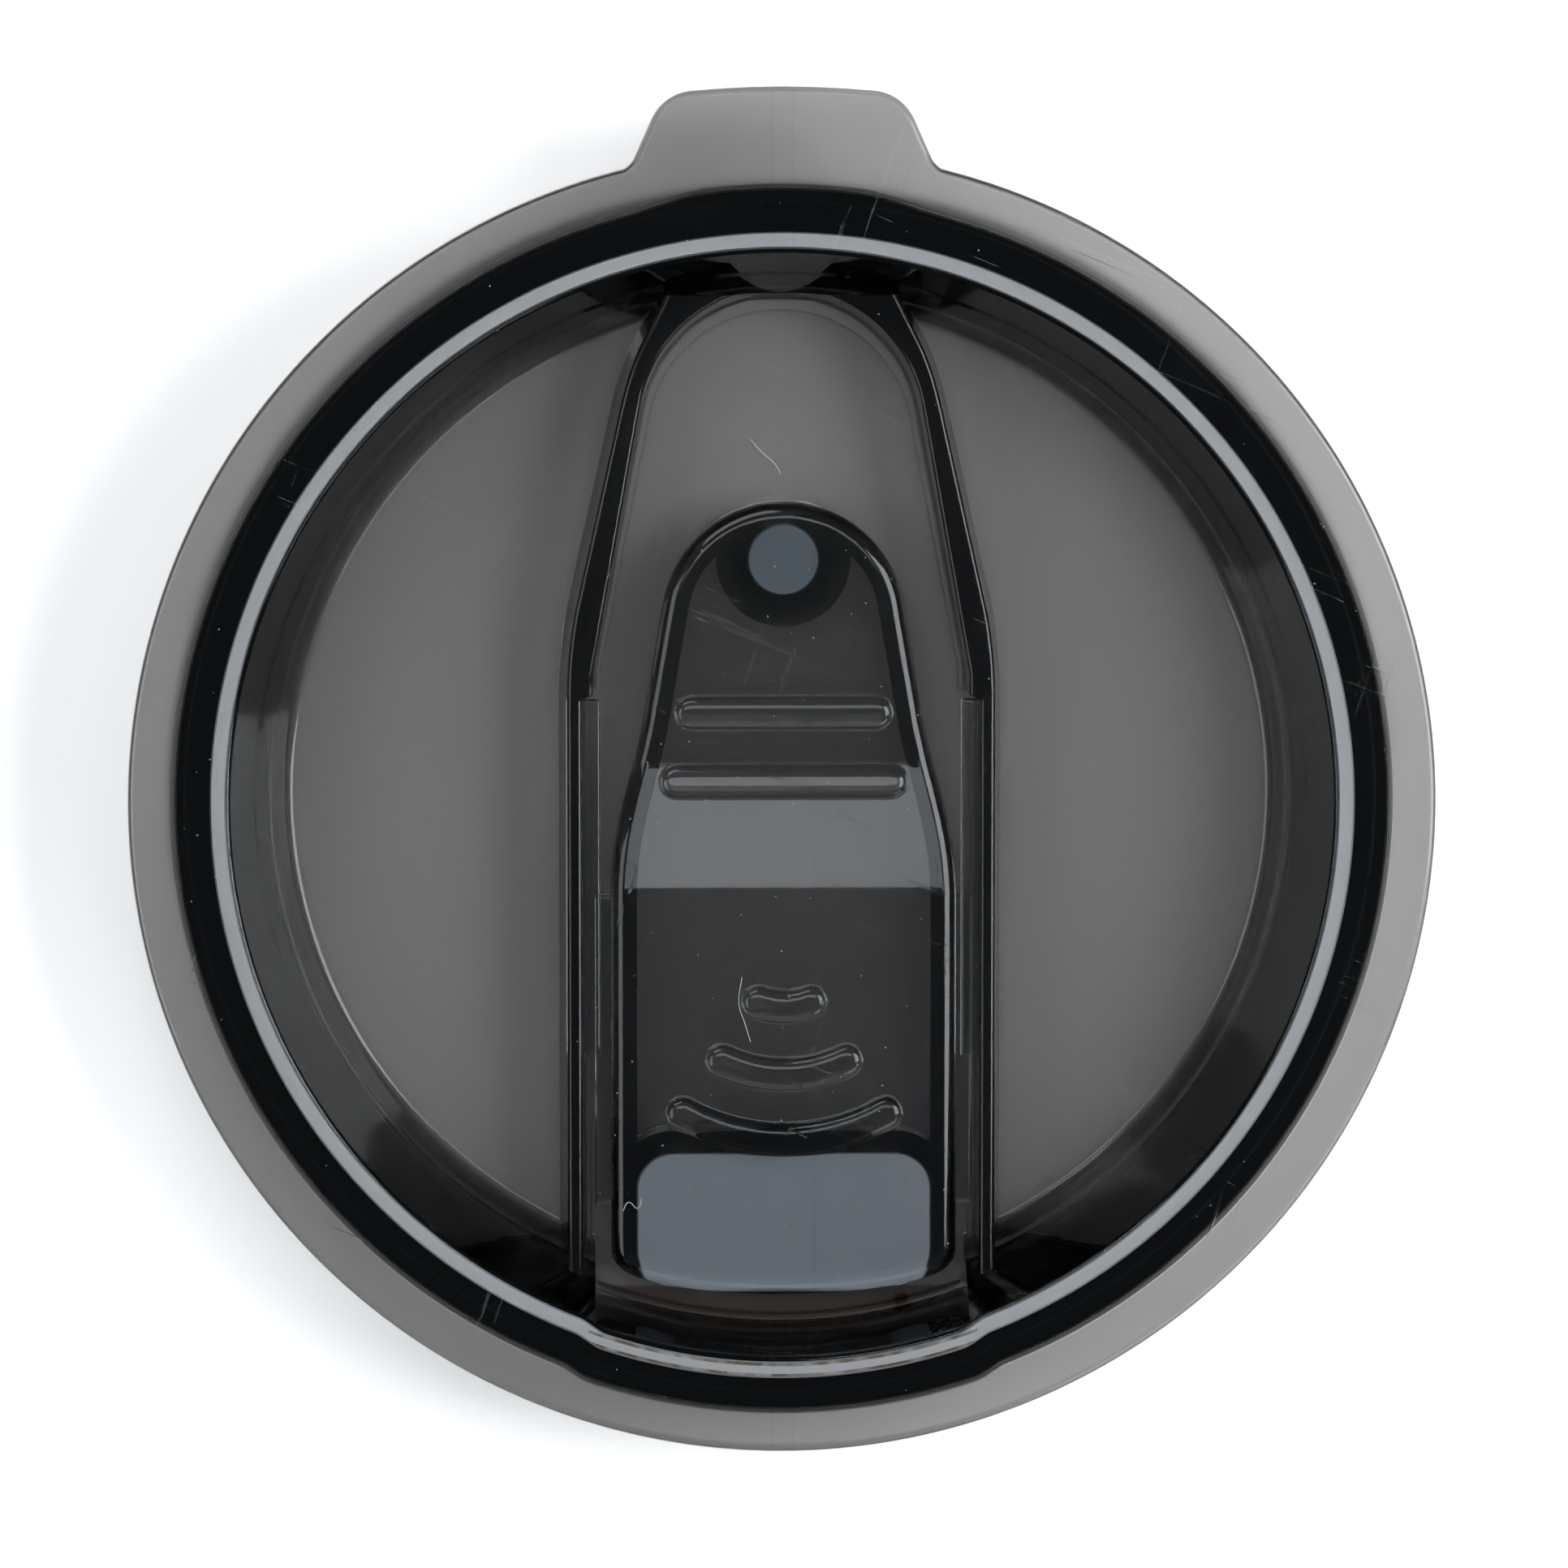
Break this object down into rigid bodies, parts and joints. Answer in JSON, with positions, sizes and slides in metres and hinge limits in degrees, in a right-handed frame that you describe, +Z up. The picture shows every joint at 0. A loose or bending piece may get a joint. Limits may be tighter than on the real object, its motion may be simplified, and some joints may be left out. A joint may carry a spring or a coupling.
{
  "type": "sliding-closure tumbler lid",
  "caption": "Smoky clear plastic lid for a coffee tumbler, with a thumb tab, a sliding closure over the drinking mouth and a pale silicone gasket.",
  "frame": {"origin": "centre of the flat face under the bowl, on the lid's axis, which the lid rests on", "axes": "+Z up through the bowl, +Y to the thumb tab, +X to the right with the drinking mouth nearest to the viewer"},
  "size_m": [0.089, 0.0932, 0.012],
  "materials": {
    "smoky_plastic": "clear plastic with a smoky tint, polished",
    "smoky_plastic_slider": "clear plastic with a smoky tint, polished",
    "pale_silicone": "translucent white silicone rubber, satin"
  },
  "bodies": {
    "lid": {"lid_body": "smoky_plastic", "rim_gasket": "pale_silicone"},
    "closure": {"slider": "smoky_plastic_slider", "mouth_seal": "pale_silicone", "vent_seal": "pale_silicone"}
  },
  "joints": [
    {"name": "closure_slide", "type": "slide", "parent": "lid", "child": "closure", "axis": [0, 1, 0], "range_m": [0, 0.0125]}
  ]
}
